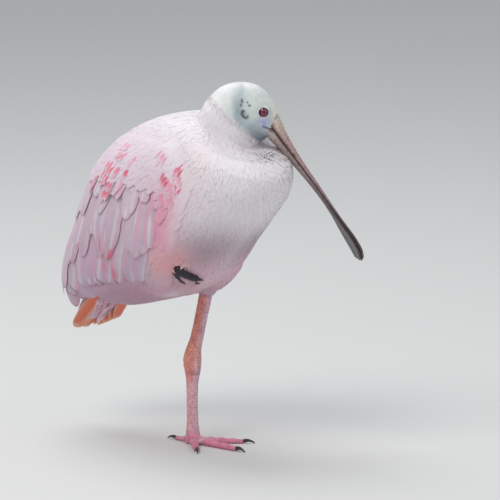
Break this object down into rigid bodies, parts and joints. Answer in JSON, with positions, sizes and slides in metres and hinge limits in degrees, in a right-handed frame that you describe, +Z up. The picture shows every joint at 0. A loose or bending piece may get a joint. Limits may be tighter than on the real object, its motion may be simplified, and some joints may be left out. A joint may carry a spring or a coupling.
{
  "type": "roseate spoonbill",
  "caption": "Life-size still model of a roseate spoonbill resting on one leg, with its head turned and its spoon-shaped bill held down.",
  "frame": {"origin": "centre of the standing foot's flat sole, on the floor", "axes": "+Z up; +X the way the bird's body faces; +Y to the bird's left"},
  "size_m": [0.3286, 0.1901, 0.3791],
  "materials": {
    "white_plumage": "soft white body feathers with a pink wash",
    "wing_plumage": "pink feathers with carmine lesser coverts",
    "tail_plumage": "orange-red tail feathers with buff edges",
    "bald_skin": "bare pale grey-green skin",
    "eye": "wet wine-red iris with a dark pupil",
    "bill_horn": "mottled grey-brown horn, darker on the spoon",
    "leg_skin": "scaled red to mauve-pink leg skin",
    "dark_skin": "dark scaled toe skin",
    "claw": "dark horn"
  },
  "bodies": {
    "root": {"torso": "white_plumage", "neck": "white_plumage", "head": "bald_skin", "eye_left": "eye", "eye_right": "eye", "bill_upper": "bill_horn", "bill_lower": "bill_horn", "tail": "tail_plumage", "wing_left": "wing_plumage", "wing_right": "wing_plumage", "thigh_left": "white_plumage", "tibia_left": "leg_skin", "tarsus_left": "leg_skin", "foot_left": "leg_skin", "claw_left_1": "claw", "claw_left_2": "claw", "claw_left_3": "claw", "claw_left_4": "claw", "foot_right": "dark_skin", "claw_right_1": "claw", "claw_right_2": "claw", "claw_right_3": "claw"}
  },
  "joints": []
}
